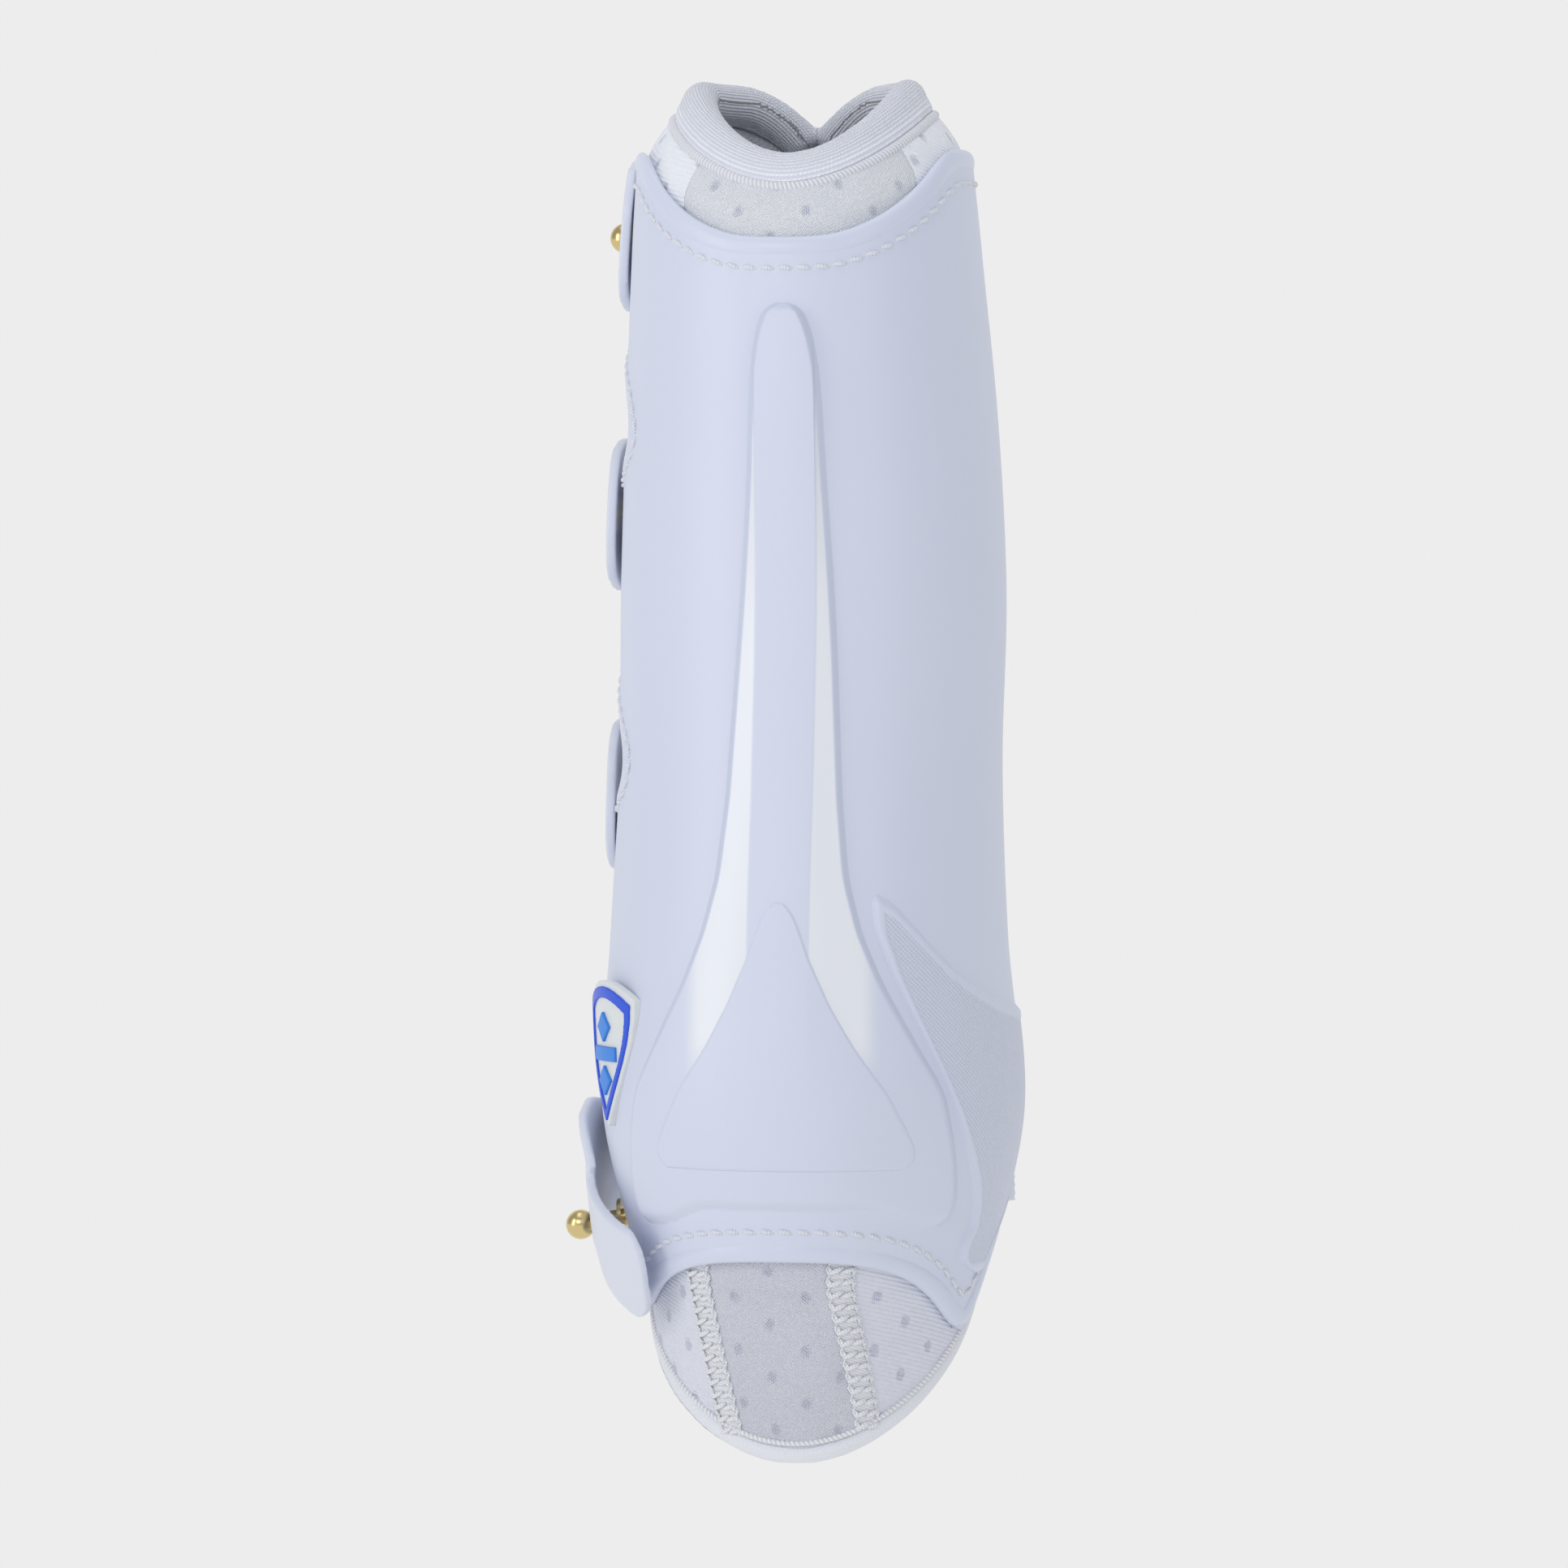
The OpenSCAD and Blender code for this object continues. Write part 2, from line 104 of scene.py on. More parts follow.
class Link:
    """A socket's value, on which sums are written as plain Python."""

    def __init__(self, tree, socket):
        self.tree, self.socket = tree, socket

    def sum(self, kind, first, second=None):
        node = self.tree.nodes.new("ShaderNodeMath")
        node.operation = kind
        for k, value in enumerate((first, second)):
            if isinstance(value, Link):
                self.tree.links.new(value.socket, node.inputs[k])
            elif value is not None:
                node.inputs[k].default_value = value
        return Link(self.tree, node.outputs[0])

    def __add__(self, other): return self.sum("ADD", self, other)
    def __radd__(self, other): return self.sum("ADD", other, self)
    def __sub__(self, other): return self.sum("SUBTRACT", self, other)
    def __rsub__(self, other): return self.sum("SUBTRACT", other, self)
    def __mul__(self, other): return self.sum("MULTIPLY", self, other)
    def __rmul__(self, other): return self.sum("MULTIPLY", other, self)
    def __truediv__(self, other): return self.sum("DIVIDE", self, other)
    def power(self, other): return self.sum("POWER", self, other)
    def least(self, other): return self.sum("MINIMUM", self, other)
    def most(self, other): return self.sum("MAXIMUM", self, other)
    def sine(self): return self.sum("SINE", self)
    def wrapped(self, step): return (self / step).sum("FRACT", self / step) * step


class Finish:
    """One material, with its shader and the nodes that feed it."""

    def __init__(self, name, **fixed):
        self.material = bpy.data.materials.new(name)
        self.material.use_nodes = True
        self.tree = self.material.node_tree
        self.shader = self.tree.nodes["Principled BSDF"]
        self.set(**fixed)

    def set(self, **values):
        for key, value in values.items():
            socket = self.shader.inputs[key.replace("_", " ")]
            if isinstance(value, Link):
                self.tree.links.new(value.socket, socket)
            else:
                socket.default_value = value

    def node(self, kind, settings=None, sockets=None, out=0):
        node = self.tree.nodes.new(kind)
        for key, value in (settings or {}).items():
            setattr(node, key, value)
        for key, value in (sockets or {}).items():
            if isinstance(value, Link):
                self.tree.links.new(value.socket, node.inputs[key])
            else:
                node.inputs[key].default_value = value
        return Link(self.tree, node.outputs[out])

    def mix(self, part, one, two):
        return self.node("ShaderNodeMix", {"data_type": "RGBA"}, {0: part, 6: one, 7: two}, 2)

    def place(self):
        return self.node("ShaderNodeTexCoord", out="Object")

    def flat_place(self):
        """Millimetres round the leg and up it, from the piece's own UV map."""
        parts = self.tree.nodes.new("ShaderNodeSeparateXYZ")
        self.tree.links.new(self.node("ShaderNodeUVMap").socket, parts.inputs[0])
        return Link(self.tree, parts.outputs[0]), Link(self.tree, parts.outputs[1])

    def noise(self, scale, detail=3, rough=0.5):
        return self.node("ShaderNodeTexNoise", None, {"Vector": self.place(), "Scale": scale,
                                                     "Detail": detail, "Roughness": rough}, "Fac")

    def attribute(self, name):
        return self.node("ShaderNodeAttribute", {"attribute_name": name}, None, "Fac")

    def bump(self, height, depth):
        self.set(Normal=self.node("ShaderNodeBump", None, {"Height": height, "Distance": depth,
                                                          "Strength": 1.0}))

    def step(self, value, low, high):
        return self.node("ShaderNodeMapRange", {"interpolation_type": "SMOOTHSTEP"},
                         {"Value": value, "From Min": low, "From Max": high})


def darker(colour, part):
    return tuple(c * part for c in colour[:3]) + (1,)


unselect()
bpy.ops.mesh.primitive_plane_add(size=14, location=(0, 0, 0))
backdrop = named("studio_sheet")
bpy.ops.object.mode_set(mode="EDIT")
bpy.ops.mesh.subdivide(number_cuts=1)
bpy.ops.object.mode_set(mode="OBJECT")
for corner in backdrop.data.vertices:
    if corner.co.y > 6:
        corner.co = (corner.co.x, 5, 6)
    elif abs(corner.co.y) < 1:
        corner.co.y = 3.5
sheet_finish = Finish("studio_sheet", Base_Color=(0, 0, 0, 1), Specular_IOR_Level=0.0,
                      Roughness=1.0, Emission_Color=(0.846, 0.846, 0.846, 1),
                      Emission_Strength=1.0)
backdrop.data.materials.append(sheet_finish.material)

# ---------------------------------------------------------------- moulded shell
# One white shell, moulded flat in soft plastic and sprung round the leg. It is open
# in front, and its outer edge is cut back between the straps. The grain is matt.
STATION = 40
HALF_WIDTH = np.array([39, 41, 49, 46.5, 44.8, 45.1, 43.5, 40.8, 38])
BACK_DEPTH = np.array([40, 46, 55, 52, 47, 46, 46, 44, 42])
FRONT_DEPTH = np.array([36, 38, 44, 43, 41, 41, 41, 39, 37])
SIDE_SHIFT = np.array([0, 0, -0.4, -1, -0.6, 0, -0.4, -1.6, -2.4])
SHELL_WALL = 2.2
SHELL_EDGE = 135
TIP_ANGLE = 67
SCALLOPS, SCALLOP_REACH, SCALLOP_DEPTH = (243, 177), 26, 70


def station(values, z):
    s = np.clip(np.asarray(z, float) / STATION, 0, len(values) - 1.001)
    i = np.floor(s).astype(int)
    t = s - i
    p, q, r, e = (values[np.clip(i + k, 0, len(values) - 1)] for k in (-1, 0, 1, 2))
    return q + t * ((r - p) + t * ((2*p - 5*q + 4*r - e) + t * (3*(q - r) + e - p))) / 2


def ease(t):
    t = np.clip(t, 0, 1)
    return t * t * (3 - 2 * t)


def sin(a):
    return np.sin(np.radians(a))


def cos(a):
    return np.cos(np.radians(a))


def on_form(psi, z, out):
    """Points at an angle from the back, a height and a distance outside the shell, in mm."""
    deep = np.where(cos(psi) > 0, station(BACK_DEPTH, z), station(FRONT_DEPTH, z))
    x = station(SIDE_SHIFT, z) + (station(HALF_WIDTH, z) + out) * sin(psi)
    return np.stack(np.broadcast_arrays(x, -(deep + out) * cos(psi), z), -1)


def shell_top(psi):
    m = np.abs(psi)
    return (279 + 22 * np.clip((m - 12) / 56, 0, 1) ** 1.6 - 6 * ease((m - 105) / 35))


def shell_bottom(psi):
    m = np.abs(psi)
    tip = np.where(psi > 0, 29, 34)
    t = np.clip((m - TIP_ANGLE) / (SHELL_EDGE - TIP_ANGLE), 0, 1)
    rise = np.where(psi > 0, np.sin(t * math.pi / 2), t ** 1.3)
    return np.where(m < TIP_ANGLE, 49 - (49 - tip) * (m / TIP_ANGLE) ** 3, tip + (70 - tip) * rise)


def scallop(z, middle):
    away = np.clip(np.abs(z - middle) / SCALLOP_REACH, 0, 1)
    return np.maximum(np.cos(away * math.pi / 2), 0) ** 1.3


def shell_psi(u, v):
    z = 70 + 226 * v
    left = -SHELL_EDGE + SCALLOP_DEPTH * sum(scallop(z, middle) for middle in SCALLOPS)
    return left + (SHELL_EDGE - left) * u


def shell_z(psi, v):
    return shell_bottom(psi) + (shell_top(psi) - shell_bottom(psi)) * v


def apply(piece, kind, **settings):
    bpy.context.view_layer.objects.active = piece
    made = piece.modifiers.new(kind.lower(), kind)
    for key, value in settings.items():
        setattr(made, key, value)
    bpy.ops.object.modifier_apply(modifier=made.name)


def spots_of(piece):
    """A piece's points, in mm."""
    spots = np.empty(len(piece.data.vertices) * 3)
    piece.data.vertices.foreach_get("co", spots)
    return spots.reshape(-1, 3) / MM


def move_to(piece, spots):
    piece.data.vertices.foreach_set("co", (spots * MM).ravel())
    piece.data.update()


def lay_uv(mesh, layer, spots):
    owner = np.empty(len(mesh.loops), int)
    mesh.loops.foreach_get("vertex_index", owner)
    layer.data.foreach_set("uv", spots[owner].ravel())


def laid(name, nu, nv, place, wall=0.0, flat=None, mark=None):
    """A grid laid over the form: place turns its u and v, 0 to 1, into points in mm.
    flat gives its UV map in mm, and mark gives a named value at each point."""
    unselect()
    bpy.ops.mesh.primitive_grid_add(x_subdivisions=nu, y_subdivisions=nv, size=1, calc_uvs=True)
    piece = named(name)
    mesh = piece.data
    co = np.empty(len(mesh.vertices) * 3)
    mesh.vertices.foreach_get("co", co)
    u, v = co.reshape(-1, 3)[:, 0] + 0.5, co.reshape(-1, 3)[:, 1] + 0.5
    points = np.asarray(place(u, v), float)
    mesh.vertices.foreach_set("co", (points * MM).ravel())
    spots = flat(u, v) if flat is not None else np.stack([np.degrees(
        np.arctan2(points[:, 0], -points[:, 1])) * 0.75, points[:, 2]], -1)
    lay_uv(mesh, mesh.uv_layers.active, spots)
    if mark:
        layer = mesh.attributes.new(mark[0], "FLOAT", "POINT")
        layer.data.foreach_set("value", np.asarray(mark[1](u, v), np.float32))
    if wall:
        apply(piece, "SOLIDIFY", thickness=wall * MM, offset=-1, use_even_offset=False)
    bpy.ops.object.shade_smooth()
    return piece


def fit(piece, finish, body, *nodes, slot=None):
    """Gives a finished piece its material, its body and the CAD nodes that it stands for."""
    piece.data.materials.clear()
    piece.data.materials.append(finish.material)
    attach(piece, body)
    if nodes:
        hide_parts(*nodes)
    return piece


PLASTIC = (0.68, 0.72, 0.858, 1)


def plastic(name, colour=PLASTIC, rough=0.42, grain=0.00003, facets=False, dots=False):
    made = Finish(name, Specular_IOR_Level=0.5)
    cloud = made.noise(14, 2)
    tone = made.mix(cloud, colour, darker(colour, 0.965))
    gloss = rough + (cloud - 0.5) * 0.06
    fine = made.noise(1700, 2, 0.6)
    height = fine
    if facets:
        painted_sheen_and_shade = made.attribute("painted_sheen_and_shade")
        bright = painted_sheen_and_shade.most(0)
        # Painted reflection makes the rib's facets lighter, and painted shade makes its walls
        # darker.
        tone = made.mix(bright, tone, (0.82, 0.845, 0.90, 1))
        tone = made.mix((painted_sheen_and_shade * -0.5).most(0), tone, (0.55, 0.6, 0.73, 1))
        gloss = gloss - bright * 0.1
        height = fine * (1 - bright * 0.8)
    if dots:
        across_u, up_v = made.flat_place()
        inner = made.attribute("field")
        wave = ((across_u * 5.7).sine() * (up_v * 5.7).sine() + 1) * 0.5
        height = fine * 0.15 + wave * inner
        # Painted shade: the dotted field is darker where its relief dips.
        tone = made.mix((1 - wave) * inner * 0.3, tone, darker(colour, 0.86))
        grain = 0.00022
    made.set(Base_Color=tone, Roughness=gloss)
    made.bump(height, grain)
    return made


shell_plastic = plastic("shell_plastic")
shell = laid("moulded_shell", 220, 200,
             lambda u, v: on_form(shell_psi(u, v), shell_z(shell_psi(u, v), v), 0), SHELL_WALL)
fit(shell, shell_plastic, "boot", "outer_shell", slot="shell_plastic")

# ---------------------------------------------------------------- edge bead
# The shell's edge is thickened into a broad rounded bead all the way round.
BEAD_R, BEAD_OUT = 2.7, -1.0


def outline(count):
    """The shell's outline as u and v, once round, evenly spaced along it."""
    t = np.linspace(0, 1, 400, endpoint=False)
    one, nil = np.ones_like(t), np.zeros_like(t)
    u = np.concatenate([t, one, 1 - t, nil])
    v = np.concatenate([nil, t, one, 1 - t])
    points = edge_points(u, v, 0, 0)
    gap = np.linalg.norm(np.diff(points, axis=0, append=points[:1]), axis=1)
    run = np.concatenate([[0], np.cumsum(gap)])
    at = np.linspace(0, run[-1], count, endpoint=False)
    return (np.interp(at, run, np.append(u, u[0])), np.interp(at, run, np.append(v, v[0])))


def edge_points(u, v, inset, out):
    shrink = 1 - inset / 110
    u2, v2 = 0.5 + (u - 0.5) * shrink, 0.5 + (v - 0.5) * shrink
    psi = shell_psi(u2, v2)
    return on_form(psi, shell_z(psi, v2), out)


def smoothed(loop, times):
    for _ in range(times):
        loop = (np.roll(loop, 1, 0) + 2 * loop + np.roll(loop, -1, 0)) / 4
    return loop


def run_of(path):
    """The length walked along a path at each of its points."""
    return np.concatenate([[0], np.cumsum(np.linalg.norm(np.diff(path, axis=0), axis=1))])


def tube(name, path, r, sides=12, closed=False, squash=1.0):
    """A round tube along a path. r may be one number or one for each point."""
    path = np.asarray(path, float)
    r = np.broadcast_to(np.asarray(r, float), (len(path),))
    if closed:
        path, r = np.append(path, path[:1], 0), np.append(r, r[0])
        along = np.gradient(np.concatenate([path[-2:-1], path, path[1:2]]), axis=0)[1:-1]
    else:
        along = np.gradient(path, axis=0)
    along /= np.linalg.norm(along, axis=1)[:, None]
    out = path * (1, 1, 0)
    out = out - (out * along).sum(1)[:, None] * along
    out /= np.linalg.norm(out, axis=1)[:, None]
    side = np.cross(along, out)
    run = run_of(path)
    steps = len(path) - 1

    def place(u, v):
        k = np.rint(v * steps).astype(int)
        a = -2 * math.pi * u
        return path[k] + r[k, None] * (np.cos(a)[:, None] * out[k] * squash
                                       + np.sin(a)[:, None] * side[k])

    def flat(u, v):
        k = np.rint(v * steps).astype(int)
        return np.stack([u * 2 * math.pi * float(r.mean()), run[k]], -1)

    piece = laid(name, sides, steps, place, flat=flat)
    bpy.ops.object.mode_set(mode="EDIT")
    bpy.ops.mesh.select_all(action="SELECT")
    bpy.ops.mesh.remove_doubles(threshold=1e-7)
    if not closed:
        bpy.ops.mesh.select_all(action="DESELECT")
        bpy.ops.mesh.select_mode(type="EDGE")
        bpy.ops.mesh.select_non_manifold()
        bpy.ops.mesh.fill()
        bpy.ops.mesh.select_mode(type="VERT")
    bpy.ops.mesh.select_all(action="SELECT")
    bpy.ops.mesh.normals_make_consistent(inside=False)
    bpy.ops.object.mode_set(mode="OBJECT")
    bpy.ops.object.shade_smooth()
    return piece


def joined(name, pieces):
    unselect()
    for piece in pieces:
        piece.select_set(True)
    bpy.context.view_layer.objects.active = pieces[0]
    bpy.ops.object.join()
    return named(name)


edge_u, edge_v = outline(560)
bead_path = smoothed(edge_points(edge_u, edge_v, 0.9, BEAD_OUT), 12)
bead = tube("edge_bead", bead_path, BEAD_R, 18, True, squash=0.6)
fit(bead, plastic("bead_plastic", rough=0.34, grain=0.00001), "boot", "shell_edge_bead",
    slot="shell_plastic")

# ---------------------------------------------------------------- edge stitching
# A lockstitch in thick thread runs round the shell just inside the bead: short slanted
# stitches, each sunk at both ends.
STITCH_PITCH, STITCH_INSET = 4.2, 5.2


def thread_finish(name, colour=(0.86, 0.88, 0.95, 1)):
    made = Finish(name, Roughness=0.6, Sheen_Weight=0.3)
    u, v = made.flat_place()
    twist = ((u * 3.0 + v * 9.0).sine() + 1) * 0.5
    # Painted shade: the thread is darker in the grooves of its twist.
    made.set(Base_Color=made.mix(twist, darker(colour, 0.8), colour))
    made.bump(twist, 0.00012)
    return made


white_thread = thread_finish("white_thread")


def stitch_row(name, path, pitch, fill, r, sink, slant=0.0):
    """Stitches along a path: each a short arched thread, sunk at both ends."""
    run = run_of(path)
    pieces = []
    for k in range(int(run[-1] // pitch)):
        at = k * pitch + np.linspace(0, fill * pitch, 5)
        mid = np.stack([np.interp(at, run, path[:, i]) for i in range(3)], -1)
        out = mid * (1, 1, 0)
        out /= np.linalg.norm(out, axis=1)[:, None]
        along = mid[-1] - mid[0]
        side = np.cross(along / np.linalg.norm(along), out[2])
        arch = np.sin(np.linspace(0, math.pi, 5))[:, None]
        pieces.append(tube("stitch", mid + out * (arch * sink - sink * 0.55)
                           + side * np.linspace(-slant, slant, 5)[:, None],
                           r * np.array([0.6, 1, 1.1, 1, 0.6]), 6))
    return joined(name, pieces)


stitch_path = smoothed(edge_points(edge_u, edge_v, STITCH_INSET, 0.1), 10)
stitching = stitch_row("edge_stitches", stitch_path, STITCH_PITCH, 0.9, 0.52, 0.7, 0.35)
fit(stitching, white_thread, "boot", "edge_stitching", slot="thread")

# ---------------------------------------------------------------- tendon rib
# A raised rib is moulded down the back and widens into the fetlock plate. Its two long
# facets are smoother, and a painted reflection makes them lighter; painted shade darkens
# its walls. Its flat crest and its sides keep the grain.
RIB_TOP, RIB_FOOT, RIB_START = 266, 59, 52
RIB_HEIGHTS = [52, 55, 59, 66, 75, 86, 98, 111, 122, 135, 153, 187, 225, 245, 251, 257, 260, 263,
               265, 266]
RIB_WIDTHS = [33, 36.5, 38.4, 39, 38.6, 37, 30.9, 24.2, 19.6, 16.2, 14.3, 12.4, 10, 9.1, 8.6, 7.6,
              6.8, 5.6, 3.9, 1.6]
PAD_HEIGHTS = [68, 70, 73, 77, 86, 97, 106, 117, 124, 128, 130]
PAD_WIDTHS = [26, 29, 29.6, 28.2, 24.2, 17, 12, 7.2, 4.9, 3, 0.6]
CREST, FACET_END, RIB_WALL = 6.6, 21.5, 2.4


def rounded(heights, widths, z, spread=2.5):
    """A half width by height, with its corners eased."""
    near = [np.interp(np.asarray(z) + k * spread, heights, widths) for k in (-1, -0.5, 0, 0.5, 1)]
    return np.average(near, axis=0, weights=(1, 2, 3, 2, 1))


def rib_width(z):
    soft = rounded(RIB_HEIGHTS, RIB_WIDTHS, z, 3.5)
    return np.where(z > 250, np.interp(z, RIB_HEIGHTS, RIB_WIDTHS), soft)


def rib_out(s, z, w):
    """How far the rib stands out at a distance s from its centre."""
    a = np.abs(s)
    wide = np.maximum(np.minimum(w - RIB_WALL, FACET_END) - CREST, 0.5)
    slope = np.clip((a - CREST) / wide, 0, 1)
    narrow = ease((z - 76) / 30)
    crown = 2.3 - 1.0 * slope * narrow - 0.45 * ease((a - 12) / 14) * (1 - narrow)
    foot = RIB_FOOT - 4.5 * ease((a - 17) / 15)
    rise = ease((w - a) / RIB_WALL) * ease((z - foot) / 2.6) * ease((RIB_TOP - z) / RIB_WALL)
    return (crown + 0.15) * rise - 0.15


def rib_side(s, z, out):
    """Points at a sideways distance s from the middle of the back."""
    psi = np.degrees(np.arcsin(np.clip(s / (station(HALF_WIDTH, z) + 1), -1, 1)))
    return on_form(psi, z, out)


def rib_spots(u, v):
    z = RIB_START + (RIB_TOP - RIB_START) * (1 - (1 - v) ** 1.6)
    return (2 * u - 1) * rib_width(z), z


def rib_place(u, v):
    s, z = rib_spots(u, v)
    return rib_side(s, z, rib_out(s, z, rib_width(z)))


def rib_painted_light(u, v):
    # Marks painted reflection on the facets (above nought) and painted shade on the walls (below
    # nought).
    s, z = rib_spots(u, v)
    w, a = rib_width(z), np.abs(s)
    painted_sheen = (ease((a - CREST) / 0.7) * ease((w - RIB_WALL * 0.75 - a) / 0.8)
           * ease((FACET_END + 1.5 - a) / 5) * ease((z - 84) / 16) * ease((262 - z) / 8))
    wall = ease((a - w + RIB_WALL + 0.4) / 0.8) * ease((w - 0.1 - a) / 0.8)
    return painted_sheen - wall * (1 - painted_sheen)


rib = laid("tendon_rib_moulding", 190, 300, rib_place, 0.5, mark=("painted_sheen_and_shade", rib_painted_light))
fit(rib, plastic("rib_plastic", facets=True), "boot", "tendon_rib", slot="shell_plastic")

# ---------------------------------------------------------------- tendon pad
# A three-cornered pad of the same plastic lies on the rib's wide end, with a thin step
# round it and a rounded tip.
PAD_STEP, PAD_FOOT, PAD_TIP = 0.42, 68.4, 129.8


def pad_spots(u, v):
    z = PAD_FOOT + (PAD_TIP - PAD_FOOT) * v
    w = rounded(PAD_HEIGHTS, PAD_WIDTHS, z, 1.6)
    return (2 * u - 1) * w, z, w


def pad_place(u, v):
    s, z, w = pad_spots(u, v)
    under = rib_out(s, z, rib_width(z))
    edge = ease((w - np.abs(s)) / 0.9) * ease((z - 68.3) / 0.9) * ease((130 - z) / 1.2)
    return rib_side(s, z, under - 0.15 + (PAD_STEP + 0.15) * edge)


pad = laid("tendon_pad_moulding", 120, 110, pad_place, 0.4)
fit(pad, plastic("pad_plastic", rough=0.45), "boot", "tendon_pad", slot="pad_plastic")

# ---------------------------------------------------------------- medial strike pad
# A raised pad on the inner side, where the other hoof brushes. Its rim is plain and
# round, and its field is covered in fine moulded dots, with painted shade in their hollows.
STRIKE_HEIGHTS = [41, 43, 45, 48, 52, 58, 65, 73, 80, 88, 98, 106, 115, 124, 131, 133.5]
STRIKE_SIDE = [39, 37, 35.4, 34, 34.8, 37.2, 38.4, 38.2, 36.6, 33.6, 28.2, 23.4, 18.4, 14.8, 14.2,
               15.6]
STRIKE_END, STRIKE_OUT = 112, 1.15


def strike_left(z):
    side = rounded(STRIKE_HEIGHTS, STRIKE_SIDE, z, 1.2)
    return 8 + np.degrees(np.arcsin(np.clip(side / (station(HALF_WIDTH, z) + 0.5), 0, 1)))


def strike_top(psi):
    knots = [20, 32, 39, 46, 53, 61, 70, 80, 90, 112]
    return rounded(knots, [134, 130, 124.5, 118.8, 114, 110.3, 107.2, 105.2, 104.3, 104.3], psi, 3)


def strike_spots(u, v):
    z0 = 42 + 91.5 * v
    psi = strike_left(z0) + (STRIKE_END - strike_left(z0)) * u
    low = np.maximum(42, shell_bottom(psi) + 4)
    z = low + (strike_top(psi) - low) * v
    left = (psi - strike_left(z0)) * 0.8
    rim = np.minimum.reduce([left, (STRIKE_END - psi) * 0.8, (strike_top(psi) - z) * 0.8, z - low])
    return psi, z, rim


def strike_place(u, v):
    psi, z, rim = strike_spots(u, v)
    out = STRIKE_OUT * ease(rim / 1.8) - 0.25 * ease((rim - 2.6) / 0.8)
    return on_form(psi, z, out - 0.05)


def strike_flat(u, v):
    psi, z, _ = strike_spots(u, v)
    return np.stack([psi * 0.8, z], -1)


def strike_field(u, v):
    return ease((strike_spots(u, v)[2] - 2.6) / 0.6)


strike = laid("medial_strike_moulding", 170, 180, strike_place, 0.4, strike_flat,
              ("field", strike_field))
fit(strike, plastic("strike_plastic", dots=True), "boot", "medial_strike_pad", slot="pad_plastic")

# ---------------------------------------------------------------- liner
# Three panels of white knit bonded to perforated foam, joined by two flat seams. The
# knit dips into the foam's holes, and painted grey shade marks each dimple.
LINER_GAP, LINER_WALL = 0.4, 4.0
LINER_OUT = -SHELL_WALL - LINER_GAP
FRONT_ANGLE = 175.5
HOLE_ACROSS, HOLE_UP, HOLE_ROWS = 17.0, 12.4, ((208.5, 203), (200, 209.2))


def liner_top(psi):
    m = np.abs(psi)
    return 292.7 + 19 * ease(m / 100) - 10.5 * np.clip((m - 130) / 45.5, 0, 1) ** 2.2


def liner_bottom(psi):
    m = np.abs(psi)
    return np.where(m < 90, 35 * (1 - cos(m)), 35 + 32 * sin(m - 90))


def liner_lean(psi, z):
    return (5.2 * (np.maximum(z - liner_top(psi) + 9, 0) / 9) ** 1.4
            + 3.5 * (np.maximum(30 - z, 0) / 30) ** 2)


def seam_left(z):
    return np.interp(z, [0, 40, 80, 297], [-23, -34, -34, -40])


def seam_right(z):
    return np.interp(z, [0, 40, 80, 297], [32, 18, 18, 52])


def knit_finish(name, diagonal=False, holes=True):
    made = Finish(name, Roughness=0.85, Sheen_Weight=0.35, Sheen_Roughness=0.5)
    u, v = made.flat_place()
    cloud = made.noise(55, 4)
    fuzz = made.noise(900, 3, 0.7)
    if diagonal:
        rib_line = ((u * 1.4 + v * 6.2 + cloud * 2).sine() + 1) * 0.32
    else:
        rib_line = ((u * 8.5).sine() * (v * 8.5 + (u * 4.25).sine()).sine() + 1) * 0.5
    patch = cloud * 0.5 + fuzz * 0.5
    foot_shade_tone = made.mix(patch, (0.675, 0.70, 0.80, 1), (0.83, 0.85, 0.935, 1))
    high_tone = made.mix(patch, (0.79, 0.825, 0.915, 1), (0.955, 0.975, 1, 1))
    # Painted shade: the knit is darker towards the foot, where it turns under, and lighter up the
    # leg.
    tone = made.mix(made.step(v, 20, 290), foot_shade_tone, high_tone)
    height = rib_line * 0.5 + fuzz * 0.5
    if holes:
        near = []
        for start_u, start_v in HOLE_ROWS:
            from_u = (u + start_u).wrapped(HOLE_ACROSS) - HOLE_ACROSS / 2
            from_v = (v + start_v).wrapped(HOLE_UP) - HOLE_UP / 2
            near.append((from_u * from_u + from_v * from_v * 0.8).power(0.5))
        hole = 1 - made.step(near[0].least(near[1]) + (fuzz - 0.5) * 0.9, 0.2, 1.7)
        lines = ((u * 11.5).sine() + 1) * 0.28 + 0.22
        # Painted shade: each hole's dimple is mixed blue-grey, in fine stripes.
        tone = made.mix(hole * lines, tone, (0.42, 0.47, 0.64, 1))
        height = height - hole * 0.9
    made.set(Base_Color=tone)
    made.bump(height, 0.0006)
    return made


def liner_panel(name, left, right, nu, nv, node, finish):
    def spots(u, v):
        z1 = 300 * v
        psi = left(z1) + (right(z1) - left(z1)) * u
        low, high = liner_bottom(psi), liner_top(psi)
        z = low + (high - low) * v
        psi = left(z) + (right(z) - left(z)) * u
        return psi, z

    def place(u, v):
        psi, z = spots(u, v)
        puff = 0.35 * np.sin(np.clip(u, 0, 1) * math.pi) ** 0.5
        wave = 0.12 * np.sin(psi * 0.31 + z * 0.05) * np.sin(z * 0.21)
        clear_of_shell = (z > 276) | (z < 40)
        return on_form(psi, z, LINER_OUT - 0.25 - liner_lean(psi, z)
                       + np.where(clear_of_shell, puff + wave, 0))

    piece = laid(name, nu, nv, place, LINER_WALL)
    return fit(piece, finish, "boot", *node, slot="liner_fabric")


